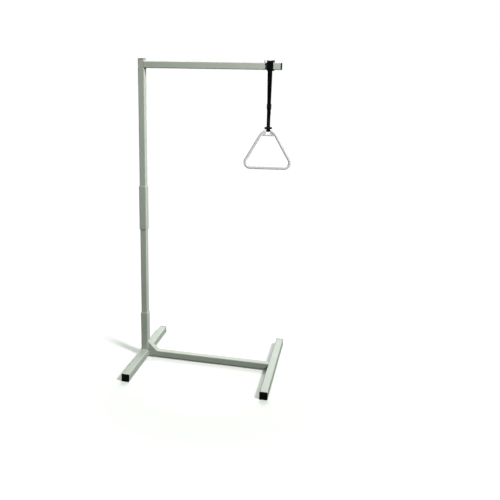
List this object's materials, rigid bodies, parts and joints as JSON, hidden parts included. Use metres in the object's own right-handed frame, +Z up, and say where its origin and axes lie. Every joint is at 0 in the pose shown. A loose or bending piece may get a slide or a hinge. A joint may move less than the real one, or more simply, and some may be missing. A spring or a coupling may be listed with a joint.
{
  "type": "over-bed lifting pole",
  "caption": "Free-standing over-bed lifting pole: an H-shaped floor base, a sectional square mast, an arm, an adjustable webbing strap and a triangular hand grip.",
  "frame": {"origin": "on the floor, at the middle of the object's bounding box, which is on the spine's centre line and 20 mm past the spine's middle towards the right foot", "axes": "+Z up, +X along the arm from the mast to the strap, -Y towards the front"},
  "size_m": [0.8985, 0.696, 1.842],
  "materials": {
    "powder_coat": "light grey powder coat, fine texture, satin",
    "black_plastic": "moulded black plastic, satin",
    "black_webbing": "woven black polyester webbing",
    "white_plastic": "moulded white plastic, soft gloss",
    "zinc_plated_steel": "bright zinc plating"
  },
  "bodies": {
    "base": {"left_foot_tube": "powder_coat", "right_foot_tube": "powder_coat", "spine_tube": "powder_coat", "mast_socket": "powder_coat", "gusset_brace": "powder_coat", "left_foot_front_cap": "black_plastic", "left_foot_rear_cap": "black_plastic", "right_foot_front_cap": "black_plastic", "right_foot_rear_cap": "black_plastic", "socket_weld_nut": "zinc_plated_steel", "socket_clamp_screw": "zinc_plated_steel"},
    "lower_mast": {"lower_mast_tube": "powder_coat", "coupling_sleeve": "powder_coat", "sleeve_lower_nut": "zinc_plated_steel", "sleeve_lower_screw": "zinc_plated_steel", "sleeve_upper_nut": "zinc_plated_steel", "sleeve_upper_screw": "zinc_plated_steel"},
    "upper_mast": {"upper_mast_tube": "powder_coat", "arm_tube": "powder_coat", "mast_top_cap": "black_plastic", "arm_end_cap": "black_plastic", "inner_stop_peg": "powder_coat", "outer_stop_peg": "powder_coat"},
    "strap_head": {"strap_saddle": "black_plastic", "webbing_over_arm": "black_webbing"},
    "upper_strap": {"front_strand": "black_webbing", "rear_strand": "black_webbing", "strap_buckle": "black_plastic", "strap_tail": "black_webbing"},
    "lower_strap": {"lower_webbing": "black_webbing"},
    "handle_loop": {"webbing_loop": "black_webbing", "slide_bar": "black_plastic"},
    "handle": {"triangle_handle": "white_plastic"}
  },
  "joints": [
    {"name": "lower_mast_lift", "type": "slide", "parent": "base", "child": "lower_mast", "axis": [0, 0, 1], "range_m": [0, 0.24]},
    {"name": "upper_mast_lift", "type": "slide", "parent": "lower_mast", "child": "upper_mast", "axis": [0, 0, 1], "range_m": [0, 0.13]},
    {"name": "saddle_slide", "type": "slide", "parent": "upper_mast", "child": "strap_head", "axis": [1, 0, 0], "range_m": [-0.0095, 0.0015]},
    {"name": "strap_swing", "type": "hinge", "parent": "strap_head", "child": "upper_strap", "pos_m": [0.31604, 0, 1.7825], "axis": [1, 0, 0], "range_deg": [-30, 30]},
    {"name": "strap_length", "type": "slide", "parent": "upper_strap", "child": "lower_strap", "axis": [0, 0, 1], "range_m": [0, 0.036]},
    {"name": "strap_twist", "type": "hinge", "parent": "lower_strap", "child": "handle_loop", "pos_m": [0.31604, 0, 1.501], "axis": [0, 0, 1], "range_deg": [-75, 75]},
    {"name": "handle_tip", "type": "hinge", "parent": "handle_loop", "child": "handle", "pos_m": [0.31604, 0, 1.4551], "axis": [0.9903, 0.1392, 0], "range_deg": [-45, 45]}
  ]
}
